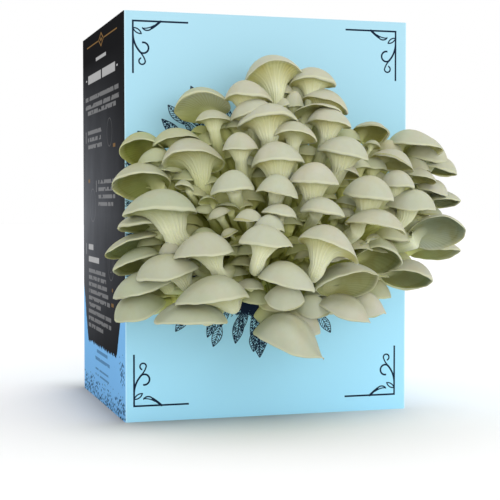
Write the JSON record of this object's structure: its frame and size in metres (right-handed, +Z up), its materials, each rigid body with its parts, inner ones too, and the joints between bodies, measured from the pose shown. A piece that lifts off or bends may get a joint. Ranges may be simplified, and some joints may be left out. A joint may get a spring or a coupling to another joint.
{
  "type": "oyster mushroom grow kit",
  "caption": "Upright carton with a round window in its front, through which a dense fan of pale oyster mushrooms has grown from the spawn block inside.",
  "frame": {"origin": "middle of the carton's bottom face", "axes": "+Z up, -Y out of the front panel with the mushrooms, +X to the right seen from the front"},
  "size_m": [0.1976, 0.2369, 0.223],
  "materials": {
    "printed_board": "coated board printed light blue, the left side black",
    "spawn_in_film": "straw and sawdust grown through with white, under clear film",
    "mushroom_flesh": "smooth moist skin, matt, greyish cream with green in the shade"
  },
  "bodies": {
    "root": {"carton": "printed_board", "substrate_block": "spawn_in_film", "cluster_base": "mushroom_flesh", "mushroom_01": "mushroom_flesh", "mushroom_02": "mushroom_flesh", "mushroom_03": "mushroom_flesh", "mushroom_04": "mushroom_flesh", "mushroom_05": "mushroom_flesh", "mushroom_06": "mushroom_flesh", "mushroom_07": "mushroom_flesh", "mushroom_08": "mushroom_flesh", "mushroom_09": "mushroom_flesh", "mushroom_10": "mushroom_flesh", "mushroom_11": "mushroom_flesh", "mushroom_12": "mushroom_flesh", "mushroom_13": "mushroom_flesh", "mushroom_14": "mushroom_flesh", "mushroom_15": "mushroom_flesh", "mushroom_16": "mushroom_flesh", "mushroom_17": "mushroom_flesh", "mushroom_18": "mushroom_flesh", "mushroom_19": "mushroom_flesh", "mushroom_20": "mushroom_flesh", "mushroom_21": "mushroom_flesh", "mushroom_22": "mushroom_flesh", "mushroom_23": "mushroom_flesh", "mushroom_24": "mushroom_flesh", "mushroom_25": "mushroom_flesh", "mushroom_26": "mushroom_flesh", "mushroom_27": "mushroom_flesh", "mushroom_28": "mushroom_flesh", "mushroom_29": "mushroom_flesh", "mushroom_30": "mushroom_flesh", "mushroom_31": "mushroom_flesh", "mushroom_32": "mushroom_flesh", "mushroom_33": "mushroom_flesh", "mushroom_34": "mushroom_flesh", "mushroom_35": "mushroom_flesh", "mushroom_36": "mushroom_flesh", "mushroom_37": "mushroom_flesh", "mushroom_38": "mushroom_flesh", "mushroom_39": "mushroom_flesh", "mushroom_40": "mushroom_flesh", "mushroom_41": "mushroom_flesh", "mushroom_42": "mushroom_flesh", "mushroom_43": "mushroom_flesh", "mushroom_44": "mushroom_flesh", "mushroom_45": "mushroom_flesh", "mushroom_46": "mushroom_flesh", "mushroom_47": "mushroom_flesh", "mushroom_48": "mushroom_flesh", "mushroom_49": "mushroom_flesh", "mushroom_50": "mushroom_flesh", "mushroom_51": "mushroom_flesh", "mushroom_52": "mushroom_flesh", "mushroom_53": "mushroom_flesh", "mushroom_54": "mushroom_flesh", "mushroom_55": "mushroom_flesh", "mushroom_56": "mushroom_flesh", "mushroom_57": "mushroom_flesh"}
  },
  "joints": []
}
